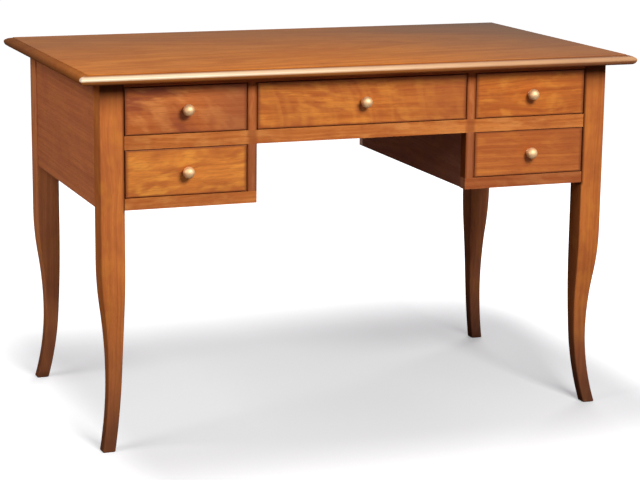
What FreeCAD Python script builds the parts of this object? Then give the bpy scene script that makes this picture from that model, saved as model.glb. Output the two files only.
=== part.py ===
import FreeCAD, Part
import os
import re
from dataclasses import dataclass

import Sketcher

# Driving dimensions in millimetres; names ending in share have no unit
SIZES = {
    "desk_width": 1220,
    "desk_depth": 700,
    "desk_height": 780,
    "overhang": 48,
    # Moulded top: a quirk, an ovolo and a round nose along all four edges
    "top_thick": 21,
    "edge_wide": 17,
    "quirk_deep": 1.5,
    "nose_drop": 10.5,
    "turn_inset": 2,
    "turn_drop": 6.5,
    # Sabre legs, sawn to one outline from two faces
    "leg_side": 50,
    "knee_height": 393,
    "bend_height": 290,
    "ankle_height": 160,
    "ankle_inset": 16,
    "toe_out": 2.5,
    "foot_thick": 27,
    "calf_height": 350,
    "calf_inset": 4.5,
    "arris_ease": 2.2,
    # Front rails, stiles and the two rows of drawers
    "top_rail_high": 11,
    "middle_rail_high": 28,
    "bottom_rail_high": 24,
    "drawer_space_high": 98,
    "rail_deep": 24,
    "rail_setback": 1.5,
    "kneehole_wide": 468,
    "stile_wide": 20,
    # Panels, back boards and pedestal bottoms
    "side_thick": 18,
    "side_setback": 3,
    "knee_panel_thick": 16,
    "knee_panel_inset": 2,
    "back_thick": 18,
    "back_setback": 1.5,
    "floor_thick": 8,
    "floor_lift": 2,
    "floor_tongue": 5,
    # Joints between fixed pieces
    "tenon_long": 22,
    "tenon_shoulder": 5,
    "stub_long": 6,
    "tongue_long": 8,
    "tongue_stop": 15,
    "dovetail_long": 18,
    "dovetail_flare": 3,
    "joint_gap": 0.2,
    # Drawer runners, guides and the blocks that hold the top
    "runner_high": 12,
    "runner_lip": 2,
    "stop_long": 20,
    "stop_high": 25,
    "guide_high": 20,
    "guide_gap": 0.5,
    "block_side": 18,
    "block_long": 60,
    # Drawers
    "drawer_gap": 1.5,
    "slide_gap": 0.3,
    "drawer_room": 103,
    "front_thick": 20,
    "front_round": 1.5,
    "front_lap": 7,
    "wall_thick": 12,
    "wall_drop": 8,
    "ply_thick": 5,
    "ply_lift": 9,
    "groove_deep": 6,
    "back_inset": 6,
    "housing_deep": 4,
    # Turned knobs and their screws
    "knob_radius": 12,
    "knob_long": 27,
    "knob_neck": 4.5,
    "knob_base": 7,
    "knob_base_thick": 2.2,
    "knob_tip": 2,
    "bore_deep": 14,
    "screw_radius": 2,
    "screw_head_radius": 4.5,
    "screw_head_high": 3,
    "overrun": 4,
}
TAIL_COUNT = 3
KNOB_FLATS = 8
KNOB_SIDES = 30
TAIL_ROOT_SHARE = 0.46
TAIL_TIP_SHARE = 0.64
SIDE_BLOCK_SHARE = 0.55

HANDS = {"left": -1, "right": 1}

doc = FreeCAD.newDocument("kneehole_desk")
sheet = doc.addObject("Spreadsheet::Sheet", "Sizes")
for row, (alias, size) in enumerate(SIZES.items(), start=1):
    sheet.set(f"A{row}", alias)
    sheet.set(f"B{row}", str(size))
    sheet.setAlias(f"B{row}", alias)
doc.recompute()
pieces = []

# Levels and faces that several pieces share, as formulas of the driving dimensions
HALF_WIDTH = "(desk_width / 2 - overhang)"
HALF_DEPTH = "(desk_depth / 2 - overhang)"
UNDERSIDE = "(desk_height - top_thick)"
UPPER_TOP = f"({UNDERSIDE} - top_rail_high)"
UPPER_LOW = f"({UPPER_TOP} - drawer_space_high)"
LOWER_TOP = f"({UPPER_LOW} - middle_rail_high)"
LOWER_LOW = f"({LOWER_TOP} - drawer_space_high)"
PEDESTAL_LOW = f"({LOWER_LOW} - bottom_rail_high)"
LEG_X = f"({HALF_WIDTH} - leg_side)"
LEG_Y = f"({HALF_DEPTH} - leg_side)"
RAIL_FRONT = f"(rail_setback - {HALF_DEPTH})"
RAIL_BACK = f"({RAIL_FRONT} + rail_deep)"
BACK_REAR = f"({HALF_DEPTH} - back_setback)"
BACK_FRONT = f"({BACK_REAR} - back_thick)"
SIDE_OUTER = f"({HALF_WIDTH} - side_setback)"
SIDE_INNER = f"({SIDE_OUTER} - side_thick)"
KNEE = "(kneehole_wide / 2)"
STILE_FAR = f"({KNEE} + stile_wide)"
KNEE_FACE = f"({KNEE} + knee_panel_inset)"
KNEE_FAR = f"({KNEE_FACE} + knee_panel_thick)"
DRAWER_END = f"({BACK_FRONT} - drawer_room)"
FRONT_BACK = f"({RAIL_FRONT} + front_thick)"
WALL_REACH = "(drawer_gap + wall_thick + runner_lip)"


@dataclass(frozen=True)
class Bend:
    """A side of an outline that is an arc: how far it bows, and what settles its radius."""

    bow_share: float
    meets: str = ""
    radius: str = ""


def formula(text):
    """Points every named size in a formula at its cell in the sheet."""
    return re.sub(r"[a-z_]+", lambda word: f"Sizes.{word[0]}" if word[0] in SIZES else word[0], text)


def value(text):
    """The number that a formula gives with the sheet's present sizes."""
    return float(sheet.evalExpression(formula(text)))


def piece(node, solid):
    """Names a finished sub-part and lists it for writing."""
    solid.Label = node
    pieces.append(solid)
    return solid


def span(hand, near, far):
    """Low and high formulas across the desk, for a piece on the left or right hand."""
    return (near, far) if hand > 0 else (f"-({far})", f"-({near})")


def both(far):
    """Low and high formulas of a piece that is centred on the desk."""
    return f"-({far})", far


def inset(limits, margin):
    """A span drawn in by a margin at both ends."""
    low, high = limits
    return f"{low} + {margin}", f"{high} - {margin}"


def place(solid, x, y, z):
    """Puts an object's origin at a place on the desk."""
    for axis, text in zip("xyz", (x, y, z)):
        solid.setExpression(f"Placement.Base.{axis}", formula(text))


def board(name, x, y, z):
    """A square-cut board between a low and a high formula on each axis."""
    solid = doc.addObject("Part::Box", name)
    for side, (low, high) in zip(("Length", "Width", "Height"), (x, y, z)):
        solid.setExpression(side, formula(f"({high}) - ({low})"))
    place(solid, x[0], y[0], z[0])
    return solid


def pocket(name, x, y, z):
    """The room that a tenon, tongue or board needs in the piece that receives it."""
    return board(name, *(inset(limits, "-1 * joint_gap") for limits in (x, y, z)))


def join(name, solids):
    """One solid made of several that touch or overlap."""
    joined = doc.addObject("Part::MultiFuse", name)
    joined.Shapes = solids
    joined.Refine = True
    return joined


def cut(name, base, tools):
    """A solid with the room for each tool taken out of it."""
    carved = doc.addObject("Part::Cut", name)
    carved.Base = base
    carved.Tool = tools[0] if len(tools) == 1 else join(f"{name}_tools", tools)
    return carved


def group(name, solids):
    """Separate solids of one kind kept together."""
    held = doc.addObject("Part::Compound", name)
    held.Links = solids
    return held


def draw(body, role, corners):
    """Draws a closed outline on one of a body's origin planes, with its corners bound to formulas."""
    sketch = body.newObject("Sketcher::SketchObject", f"{body.Name}_outline")
    plane = next(feature for feature in body.Origin.OriginFeatures if feature.Role == role)
    sketch.AttachmentSupport = (plane, [""])
    sketch.MapMode = "FlatFace"
    places = [FreeCAD.Vector(value(corner[0]), value(corner[1]), 0) for corner in corners]
    bends = [corner[2] if len(corner) > 2 else None for corner in corners]
    ends = []
    for start, end, bend in zip(places, places[1:] + places[:1], bends):
        if bend:
            across = FreeCAD.Vector(end.y - start.y, start.x - end.x, 0)
            middle = (start + end) / 2 + across * bend.bow_share
            forward = bend.bow_share > 0
            sketch.addGeometry(Part.Arc(start, middle, end) if forward else Part.Arc(end, middle, start))
            ends.append((1, 2) if forward else (2, 1))
        else:
            sketch.addGeometry(Part.LineSegment(start, end))
            ends.append((1, 2))
    count = len(corners)
    smooth = {index for index, bend in enumerate(bends) if bend and bend.meets == "after"}
    smooth |= {(index - 1) % count for index, bend in enumerate(bends) if bend and bend.meets == "before"}
    for index, corner in enumerate(corners):
        after = (index + 1) % count
        kind = "Tangent" if index in smooth else "Coincident"
        sketch.addConstraint(Sketcher.Constraint(kind, index, ends[index][1], after, ends[after][0]))
        for axis, text, place in zip("XY", corner, places[index]):
            number = sketch.addConstraint(
                Sketcher.Constraint(f"Distance{axis}", -1, 1, index, ends[index][0], place))
            sketch.setExpression(f"Constraints[{number}]", formula(text))
        if bends[index] and bends[index].radius:
            number = sketch.addConstraint(
                Sketcher.Constraint("Radius", index, value(bends[index].radius)))
            sketch.setExpression(f"Constraints[{number}]", formula(bends[index].radius))
    return sketch


def padded(name, role, corners, length, centred=False):
    """A body padded square to one of its origin planes."""
    body = doc.addObject("PartDesign::Body", name)
    pad = body.newObject("PartDesign::Pad", f"{name}_pad")
    sketch = draw(body, role, corners)
    pad.Profile = sketch
    pad.setExpression("Length", formula(length))
    pad.Midplane = centred
    body.Tip = pad
    return body


def turned(name, corners, x, y, z):
    """A body turned about a front-to-back axis through a place on the desk."""
    body = doc.addObject("PartDesign::Body", name)
    sketch = draw(body, "XY_Plane", corners)
    lathe = body.newObject("PartDesign::Revolution", f"{name}_turning")
    lathe.Profile = sketch
    lathe.ReferenceAxis = (sketch, ["V_Axis"])
    body.Tip = lathe
    place(body, x, y, z)
    return body


def ease(kind, name, base, amount, wanted):
    """Fillets or chamfers those edges of a solid that a test picks."""
    doc.recompute()
    eased = doc.addObject(f"Part::{kind}", name)
    eased.Base = base
    size = value(amount)
    edges = base.Shape.Edges
    eased.Edges = [(index, size, size) for index, edge in enumerate(edges, start=1) if wanted(edge)]
    return eased


# The top: one moulded outline run along both directions, so the mouldings meet in mitres
def top_outline(across):
    """Section of the top square to one pair of its edges, across its full width or depth."""
    half = f"({across} / 2)"
    flat = f"({half} - edge_wide)"
    quirk = "(desk_height - quirk_deep)"
    nose = "(desk_height - nose_drop)"
    under = f"({half} - (top_thick - nose_drop))"
    turn = (f"({half} - turn_inset)", "(desk_height - turn_drop)")
    return [
        (f"-{under}", UNDERSIDE),
        (under, UNDERSIDE, Bend(0.2, "before")),
        (half, nose, Bend(0.1, "before")),
        (*turn, Bend(0.1, "before")),
        (flat, quirk),
        (flat, "desk_height"),
        (f"-{flat}", "desk_height"),
        (f"-{flat}", quirk, Bend(0.1, "after")),
        (f"-{turn[0]}", turn[1], Bend(0.1, "after")),
        (f"-{half}", nose, Bend(0.2, "after")),
    ]


top = doc.addObject("Part::Common", "top_panel")
top.Base = padded("top_end_section", "XZ_Plane", top_outline("desk_width"), "desk_depth", True)
top.Tool = padded("top_edge_section", "YZ_Plane", top_outline("desk_depth"), "desk_width", True)
piece("top_panel", top)


# The legs: the same sabre outline sawn from the side and from the front, with eased arrises
def leg_outline(outer):
    """Outline of a leg at the low end of an axis, measured inward from its outer face."""
    bend_inset = "(ankle_inset * (knee_height - bend_height) / (knee_height - ankle_height))"
    return [
        (f"{outer} - toe_out", "0"),
        (f"{outer} - toe_out + foot_thick", "0", Bend(0.03, "after")),
        (f"{outer} + leg_side - calf_inset", "ankle_height", Bend(0.01, "after")),
        (f"{outer} + leg_side", "calf_height"),
        (f"{outer} + leg_side", UNDERSIDE),
        (outer, UNDERSIDE),
        (outer, "knee_height", Bend(0.03, "before")),
        (f"{outer} + {bend_inset}", "bend_height", Bend(-0.03, "before")),
        (f"{outer} + ankle_inset", "ankle_height", Bend(-0.03, "before")),
    ]


def long_arris(edge):
    """True for the edges that run down a leg."""
    box = edge.BoundBox
    return box.ZLength > max(box.XLength, box.YLength)


leg_blank = doc.addObject("Part::Common", "leg_blank")
leg_blank.Base = padded("leg_front_sawing", "XZ_Plane", leg_outline(f"-{HALF_WIDTH}"), "desk_depth", True)
leg_blank.Tool = padded("leg_side_sawing", "YZ_Plane", leg_outline(f"-{HALF_DEPTH}"), "desk_width", True)
leg_front_left = ease("Chamfer", "leg_eased", leg_blank, "arris_ease", long_arris)


def mirrored(name, source, normal):
    """The same piece on the other side of one of the desk's middle planes."""
    twin = doc.addObject("Part::Mirroring", name)
    twin.Source = source
    twin.Normal = normal
    return twin


ACROSS = FreeCAD.Vector(1, 0, 0)
ALONG = FreeCAD.Vector(0, 1, 0)
leg_front_right = mirrored("leg_front_right_blank", leg_front_left, ACROSS)
leg_blanks = {
    ("front", "left"): leg_front_left,
    ("front", "right"): leg_front_right,
    ("back", "left"): mirrored("leg_back_left_blank", leg_front_left, ALONG),
    ("back", "right"): mirrored("leg_back_right_blank", leg_front_right, ALONG),
}

# Tenons and tongues, each written once and used for the piece and for its mortise
RAIL_Y = (RAIL_FRONT, RAIL_BACK)
MIDDLE_Z = (LOWER_TOP, UPPER_LOW)
BOTTOM_Z = (PEDESTAL_LOW, LOWER_LOW)
BACK_Y = (BACK_FRONT, BACK_REAR)
middle_tenon = (
    both(f"({LEG_X} + tenon_long)"), inset(RAIL_Y, "tenon_shoulder"), inset(MIDDLE_Z, "tenon_shoulder"))
apron_tongue = (
    both(f"({LEG_X} + tongue_long)"), inset(BACK_Y, "tenon_shoulder"), (LOWER_TOP, UNDERSIDE))


def bottom_tenon(hand):
    """Tenon of a bottom rail in the front leg."""
    x = span(hand, f"{LEG_X} - tenon_long", f"{LEG_X} + tenon_long")
    return x, inset(RAIL_Y, "tenon_shoulder"), inset(BOTTOM_Z, "tenon_shoulder")


def side_tongue(hand):
    """Tongues of a side panel, which stop short of its lower edge."""
    x = span(hand, f"{SIDE_INNER} + tenon_shoulder", f"{SIDE_OUTER} - tenon_shoulder")
    return x, both(f"({LEG_Y} + tongue_long)"), (f"{PEDESTAL_LOW} + tongue_stop", UNDERSIDE)


def back_tongue(hand):
    """Tongue of a lower back board in the back leg."""
    x = span(hand, f"{LEG_X} - tongue_long", f"{LEG_X} + tongue_long")
    return x, inset(BACK_Y, "tenon_shoulder"), (f"{PEDESTAL_LOW} + tongue_stop", LOWER_TOP)


def stile_stub(hand, low, high):
    """Stub tenon of a stile between two levels."""
    x = inset(span(hand, KNEE, STILE_FAR), "tenon_shoulder")
    return x, inset(RAIL_Y, "tenon_shoulder"), (low, high)


def top_rail_outline(gap):
    """Plan of the top rail, with a dovetail at each end that drops into a leg."""
    low = f"({RAIL_FRONT} + tenon_shoulder - {gap})"
    high = f"({RAIL_BACK} - tenon_shoulder + {gap})"
    tip = f"({LEG_X} + dovetail_long + {gap})"
    corners = [
        (LEG_X, RAIL_FRONT),
        (LEG_X, low),
        (tip, f"{low} - dovetail_flare"),
        (tip, f"{high} + dovetail_flare"),
        (LEG_X, high),
        (LEG_X, RAIL_BACK),
    ]
    return corners + [(f"-{x}", y) for x, y in reversed(corners)]


def top_rail_body(name, gap):
    """The top rail's bar, or the room for it."""
    body = padded(name, "XY_Plane", top_rail_outline(gap), f"top_rail_high + {gap}")
    body.setExpression("Placement.Base.z", formula(f"{UPPER_TOP} - {gap}"))
    return body


for (end, side), blank in leg_blanks.items():
    hand = HANDS[side]
    node = f"leg_{end}_{side}"
    rooms = [pocket(f"{node}_side_groove", *side_tongue(hand))]
    if end == "front":
        rooms.append(top_rail_body(f"{node}_dovetail_socket", "joint_gap"))
        rooms.append(pocket(f"{node}_middle_mortise", *middle_tenon))
        rooms.append(pocket(f"{node}_bottom_mortise", *bottom_tenon(hand)))
    else:
        rooms.append(pocket(f"{node}_apron_groove", *apron_tongue))
        rooms.append(pocket(f"{node}_back_groove", *back_tongue(hand)))
    piece(node, cut(node, blank, rooms))

# Front rails, and the stiles that stand between them beside the kneehole
stile_levels = {"upper": (UPPER_LOW, UPPER_TOP), "lower": (LOWER_LOW, LOWER_TOP)}
top_rail_rooms = []
middle_rail_rooms = []
for side, hand in HANDS.items():
    bottom_rail_rooms = []
    for row, far_rooms in (("upper", top_rail_rooms), ("lower", bottom_rail_rooms)):
        node = f"{row}_stile_{side}"
        stub = stile_stub(hand, *inset(stile_levels[row], "-1 * stub_long"))
        bar = board(f"{node}_bar", span(hand, KNEE, STILE_FAR), RAIL_Y, stile_levels[row])
        piece(node, join(node, [bar, board(f"{node}_stub", *stub)]))
        mortise = pocket(f"{node}_mortise", *stub)
        middle_rail_rooms.append(mortise)
        far_rooms.append(mortise)
    node = f"bottom_rail_{side}"
    bar = board(f"{node}_bar", span(hand, KNEE, LEG_X), RAIL_Y, BOTTOM_Z)
    rail = join(f"{node}_tenoned", [bar, board(f"{node}_tenon", *bottom_tenon(hand))])
    piece(node, cut(node, rail, bottom_rail_rooms))

piece("top_rail", cut("top_rail", top_rail_body("top_rail_bar", "0"), top_rail_rooms))
middle_bar = board("middle_rail_bar", both(LEG_X), RAIL_Y, MIDDLE_Z)
middle_rail = join("middle_rail_tenoned", [middle_bar, board("middle_rail_tenons", *middle_tenon)])
piece("middle_rail", cut("middle_rail", middle_rail, middle_rail_rooms))

# Side panels, kneehole panels, back boards and pedestal floors
PANEL_Z = (PEDESTAL_LOW, UNDERSIDE)
FLOOR_Z = (f"{PEDESTAL_LOW} + floor_lift", f"{PEDESTAL_LOW} + floor_lift + floor_thick")


def floor_outline(hand):
    """Plan of a pedestal floor, notched round the two legs."""
    near = f"{hand} * ({KNEE_FAR} - floor_tongue)"
    far = f"{hand} * ({SIDE_INNER} + floor_tongue)"
    notch = f"{hand} * ({LEG_X} - joint_gap)"
    clear = f"({LEG_Y} - joint_gap)"
    return [
        (near, RAIL_BACK),
        (notch, RAIL_BACK),
        (notch, f"-{clear}"),
        (far, f"-{clear}"),
        (far, clear),
        (notch, clear),
        (notch, BACK_FRONT),
        (near, BACK_FRONT),
    ]


for side, hand in HANDS.items():
    floor_x = span(hand, f"{KNEE_FAR} - floor_tongue", f"{SIDE_INNER} + floor_tongue")
    floor_room = (floor_x, both(HALF_DEPTH), FLOOR_Z)

    node = f"side_panel_{side}"
    panel = board(f"{node}_field", span(hand, SIDE_INNER, SIDE_OUTER), both(LEG_Y), PANEL_Z)
    panel = join(f"{node}_tongued", [panel, board(f"{node}_tongues", *side_tongue(hand))])
    piece(node, cut(node, panel, [pocket(f"{node}_groove", *floor_room)]))

    node = f"kneehole_panel_{side}"
    panel = board(f"{node}_field", span(hand, KNEE_FACE, KNEE_FAR), (RAIL_BACK, BACK_FRONT), PANEL_Z)
    piece(node, cut(node, panel, [pocket(f"{node}_groove", *floor_room)]))

    node = f"lower_back_{side}"
    field = board(f"{node}_field", span(hand, KNEE_FACE, LEG_X), BACK_Y, (PEDESTAL_LOW, LOWER_TOP))
    piece(node, join(node, [field, board(f"{node}_tongue", *back_tongue(hand))]))

    node = f"pedestal_floor_{side}"
    floor = padded(node, "XY_Plane", floor_outline(hand), "floor_thick")
    floor.setExpression("Placement.Base.z", formula(FLOOR_Z[0]))
    piece(node, floor)

apron_field = board("back_apron_field", both(LEG_X), BACK_Y, (LOWER_TOP, UNDERSIDE))
piece("back_apron", join("back_apron", [apron_field, board("back_apron_tongues", *apron_tongue)]))

# Strips that carry, stop and guide the drawers, and the blocks that hold the top
runners = []
guides = []
blocks = []
BLOCK_Y = (f"{BACK_FRONT} - block_side", BACK_FRONT)
BLOCK_Z = (f"{UNDERSIDE} - block_side", UNDERSIDE)
STOP_Y = (f"{DRAWER_END} + slide_gap", f"{DRAWER_END} + slide_gap + stop_long")
WALL = ("drawer_gap", "(drawer_gap + wall_thick)")
for side, hand in HANDS.items():
    outer = (f"{LEG_X} - {WALL_REACH}", SIDE_INNER)
    outer_wall = (f"{LEG_X} - {WALL[1]}", f"{LEG_X} - {WALL[0]}")
    inner = (KNEE_FAR, f"{STILE_FAR} + {WALL_REACH}")
    inner_wall = (f"{STILE_FAR} + {WALL[0]}", f"{STILE_FAR} + {WALL[1]}")
    middle = (f"{KNEE} - {WALL_REACH}", KNEE_FACE)
    middle_wall = (f"{KNEE} - {WALL[1]}", f"{KNEE} - {WALL[0]}")
    strips = {
        "upper_outer": (outer, outer_wall, UPPER_LOW),
        "upper_inner": (inner, inner_wall, UPPER_LOW),
        "lower_outer": (outer, outer_wall, LOWER_LOW),
        "lower_inner": (inner, inner_wall, LOWER_LOW),
        "middle": (middle, middle_wall, UPPER_LOW),
    }
    for place_name, (strip, wall, level) in strips.items():
        name = f"{side}_{place_name}"
        x = span(hand, *strip)
        runners.append(board(f"runner_{name}", x, both(LEG_Y), (f"{level} - runner_high", level)))
        x = span(hand, *wall)
        runners.append(board(f"stop_{name}", x, STOP_Y, (level, f"{level} + stop_high")))
    beside = span(hand, f"{LEG_X} - drawer_gap + guide_gap", SIDE_INNER)
    for number, level in enumerate((UPPER_LOW, LOWER_LOW)):
        z = (level, f"{level} + guide_high")
        guides.append(board(f"guide_{side}_{number}", beside, both(LEG_Y), z))
    for number, way in enumerate((-1, 1)):
        centre = f"{way} * {LEG_Y} * {SIDE_BLOCK_SHARE}"
        y = (f"{centre} - block_long / 2", f"{centre} + block_long / 2")
        x = span(hand, f"{SIDE_INNER} - block_side", SIDE_INNER)
        blocks.append(board(f"block_{side}_{number}", x, y, BLOCK_Z))
    centre = f"({STILE_FAR} + {LEG_X}) / 2"
    x = span(hand, f"{centre} - block_long / 2", f"{centre} + block_long / 2")
    blocks.append(board(f"block_{side}_back", x, BLOCK_Y, BLOCK_Z))
blocks.append(board("block_back", both("block_long / 2"), BLOCK_Y, BLOCK_Z))
piece("drawer_runners", group("drawer_runners", runners))
piece("drawer_guides", group("drawer_guides", guides))
piece("top_blocks", group("top_blocks", blocks))


# Drawers: half-blind dovetails at the front, a housed back and a bottom in grooves
def wall_outline(low, gap):
    """A drawer side seen square on, with dovetails at its front end."""
    bottom = f"({low} + slide_gap)"
    high = "(drawer_space_high - drawer_gap - wall_drop - slide_gap)"
    pitch = f"({high} / {TAIL_COUNT})"
    tip = f"({RAIL_FRONT} + front_lap - {gap})"
    corners = [(DRAWER_END, bottom), (FRONT_BACK, bottom)]
    for number in range(TAIL_COUNT):
        centre = f"({bottom} + {pitch} * ({number} + 1 / 2))"
        root = f"({pitch} * {TAIL_ROOT_SHARE} / 2 + {gap})"
        end = f"({pitch} * {TAIL_TIP_SHARE} / 2 + {gap})"
        corners += [
            (FRONT_BACK, f"{centre} - {root}"),
            (tip, f"{centre} - {end}"),
            (tip, f"{centre} + {end}"),
            (FRONT_BACK, f"{centre} + {root}"),
        ]
    return corners + [(FRONT_BACK, f"{bottom} + {high}"), (DRAWER_END, f"{bottom} + {high}")]


def wall_body(name, x, low, gap="0"):
    """A drawer side's board, or the room that its dovetails need in the front."""
    body = padded(name, "YZ_Plane", wall_outline(low, gap), f"{x[1]} - ({x[0]})")
    body.setExpression("Placement.Base.x", formula(x[0]))
    return body


def bore(name, radius, x, y, z, length):
    """A round hole that runs from front to back."""
    hole = doc.addObject("Part::Cylinder", name)
    hole.Placement.Rotation = FreeCAD.Rotation(ACROSS, -90)
    hole.setExpression("Radius", formula(radius))
    hole.setExpression("Height", formula(length))
    place(hole, x, y, z)
    return hole


def faceted(name, rings):
    """A turning about a front-to-back axis, with flat sides between each ring and the next."""
    loops = []
    for radius, reach in rings:
        arm = FreeCAD.Vector(value(radius), 0, 0)
        step = FreeCAD.Vector(0, -value(reach), 0)
        turns = [FreeCAD.Rotation(ALONG, 360 * number / KNOB_SIDES) for number in range(KNOB_SIDES)]
        loops.append([turn.multVec(arm) + step for turn in turns])
    outlines = [loops[0], loops[-1]]
    for near, far in zip(loops, loops[1:]):
        for number in range(KNOB_SIDES):
            before = number - 1
            outlines.append([near[before], near[number], far[number], far[before]])
    faces = [Part.Face(Part.makePolygon(corners + corners[:1])) for corners in outlines]
    turning = doc.addObject("Part::Feature", name)
    turning.Shape = Part.makeSolid(Part.makeShell(faces))
    return turning


def build_knob(name, x, z):
    """A base disc, a neck and a ball turned in flats, with a hole for the screw."""
    sweep = "(180 deg - asin(knob_neck / knob_radius))"
    rings = [("knob_base", "0"), ("knob_base", "knob_base_thick")]
    for number in range(KNOB_FLATS):
        turn = f"({sweep} * (1 - {number} / {KNOB_FLATS}))"
        rings.append((f"knob_radius * sin({turn})", f"knob_long - knob_radius * (1 - cos({turn}))"))
    ball = faceted(f"{name}_ball", [*rings, ("knob_tip", "knob_long")])
    place(ball, x, RAIL_FRONT, z)
    length = "bore_deep + overrun"
    hole = bore(f"{name}_bore", "screw_radius + joint_gap", x, f"{RAIL_FRONT} - bore_deep", z, length)
    return cut(name, ball, [hole])


def face_edge(edge):
    """True for the edges round the face of a drawer front."""
    return edge.BoundBox.YMax < value(f"{RAIL_FRONT} + front_thick / 2")


SCREW_REACH = "(front_thick + bore_deep - joint_gap)"
SCREW_OUTLINE = [
    ("0", f"-{SCREW_REACH}"),
    ("screw_radius", f"-{SCREW_REACH}"),
    ("screw_radius", "0"),
    ("screw_head_radius", "0"),
    ("screw_head_radius", "screw_head_high"),
    ("0", "screw_head_high"),
]


def build_drawer(name, x, low):
    """One drawer in the opening between two formulas across the desk, above a level."""
    outer = inset(x, "drawer_gap")
    walls = {
        "left": (outer[0], f"{outer[0]} + wall_thick"),
        "right": (f"{outer[1]} - wall_thick", outer[1]),
    }
    inner = (walls["left"][1], walls["right"][0])
    front_z = inset((low, f"({low} + drawer_space_high)"), "drawer_gap")
    top_z = f"({low} + drawer_space_high - drawer_gap - wall_drop)"
    ply_z = (f"({low} + ply_lift)", f"({low} + ply_lift + ply_thick)")
    ply_x = inset(inner, "-1 * (groove_deep - joint_gap)")
    ply = (ply_x, (f"({FRONT_BACK} - groove_deep + joint_gap)", DRAWER_END), ply_z)
    ply_room = (ply_x, (ply[1][0], f"{DRAWER_END} + overrun"), ply_z)
    back_y = (f"({DRAWER_END} - back_inset - wall_thick)", f"({DRAWER_END} - back_inset)")
    back = (inset(inner, "-1 * (housing_deep - joint_gap)"), back_y, (ply_z[1], top_z))
    back_room = (back[0], back_y, (ply_z[1], f"{top_z} + overrun"))
    middle_x = f"(({x[0]}) + ({x[1]})) / 2"
    middle_z = f"({low} + drawer_space_high / 2)"

    blank = board(f"{name}_front_blank", outer, (RAIL_FRONT, FRONT_BACK), front_z)
    eased = ease("Fillet", f"{name}_front_eased", blank, "front_round", face_edge)
    length = "front_thick + 2 * overrun"
    start = f"{RAIL_FRONT} - overrun"
    hole = bore(f"{name}_screw_hole", "screw_radius + joint_gap", middle_x, start, middle_z, length)
    rooms = [hole, pocket(f"{name}_front_groove", *ply_room)]
    for side, wall_x in walls.items():
        socket = {
            "left": (f"{wall_x[0]} - overrun", f"{wall_x[1]} + joint_gap"),
            "right": (f"{wall_x[0]} - joint_gap", f"{wall_x[1]} + overrun"),
        }[side]
        rooms.append(wall_body(f"{name}_{side}_socket", socket, low, "joint_gap"))
    piece(f"{name}_front", cut(f"{name}_front", eased, rooms))

    for side, wall_x in walls.items():
        node = f"{name}_side_{side}"
        room = [pocket(f"{node}_groove", *ply_room), pocket(f"{node}_housing", *back_room)]
        piece(node, cut(node, wall_body(f"{node}_board", wall_x, low), room))
    piece(f"{name}_back", board(f"{name}_back", *back))
    piece(f"{name}_bottom", board(f"{name}_bottom", *ply))
    piece(f"{name}_knob", build_knob(f"{name}_knob", middle_x, middle_z))
    screw = turned(f"{name}_knob_screw", SCREW_OUTLINE, middle_x, FRONT_BACK, middle_z)
    piece(f"{name}_knob_screw", screw)


for side, hand in HANDS.items():
    column = span(hand, STILE_FAR, LEG_X)
    build_drawer(f"{side}_upper_drawer", column, UPPER_LOW)
    build_drawer(f"{side}_lower_drawer", column, LOWER_LOW)
build_drawer("centre_drawer", both(KNEE), UPPER_LOW)

doc.recompute()
for built in doc.Objects:
    if {"Invalid", "Error"} & set(built.State):
        raise RuntimeError(f"{built.Name} did not build: {built.State}")
for solid in pieces:
    if solid.Shape.isNull() or not solid.Shape.isValid():
        raise RuntimeError(f"{solid.Label} has no valid shape")
os.makedirs("parts", exist_ok=True)
for solid in pieces:
    solid.Shape.exportStep(f"parts/{solid.Label}.step")
    print(solid.Label, len(solid.Shape.Solids), round(solid.Shape.Volume))
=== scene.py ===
"""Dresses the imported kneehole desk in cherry, beech, plywood, brass and steel, in a white studio.

The top, the legs, the knobs and their screws are modelled afresh in place of their CAD nodes. Every
other node keeps its CAD shape and gets its wood.
"""

import logging
import math
import random
from collections.abc import Callable, Iterable, Mapping, Sequence
from dataclasses import dataclass, replace
from enum import Enum
from typing import Any, Union

import bpy
import numpy as np
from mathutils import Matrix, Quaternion, Vector


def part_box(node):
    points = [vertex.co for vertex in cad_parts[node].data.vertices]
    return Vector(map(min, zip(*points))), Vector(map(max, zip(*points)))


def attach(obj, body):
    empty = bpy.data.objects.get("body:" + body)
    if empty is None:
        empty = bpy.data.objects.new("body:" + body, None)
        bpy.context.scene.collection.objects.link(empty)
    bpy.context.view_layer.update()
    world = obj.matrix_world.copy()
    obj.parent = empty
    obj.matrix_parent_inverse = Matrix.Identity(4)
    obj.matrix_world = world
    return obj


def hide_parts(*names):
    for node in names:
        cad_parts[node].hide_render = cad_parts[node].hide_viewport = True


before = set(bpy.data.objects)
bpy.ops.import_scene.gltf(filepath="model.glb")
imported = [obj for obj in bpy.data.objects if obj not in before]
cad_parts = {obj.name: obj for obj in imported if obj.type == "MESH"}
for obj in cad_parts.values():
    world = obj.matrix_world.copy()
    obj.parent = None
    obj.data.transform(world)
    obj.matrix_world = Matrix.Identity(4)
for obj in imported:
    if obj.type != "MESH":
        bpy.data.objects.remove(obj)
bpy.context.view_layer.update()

LOG = logging.getLogger("desk")
AXES = "XYZ"

Colour = tuple[float, float, float]
Place = tuple[float, float, float]
Point = tuple[float, float]
Operand = Union["Signal", float]


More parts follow.
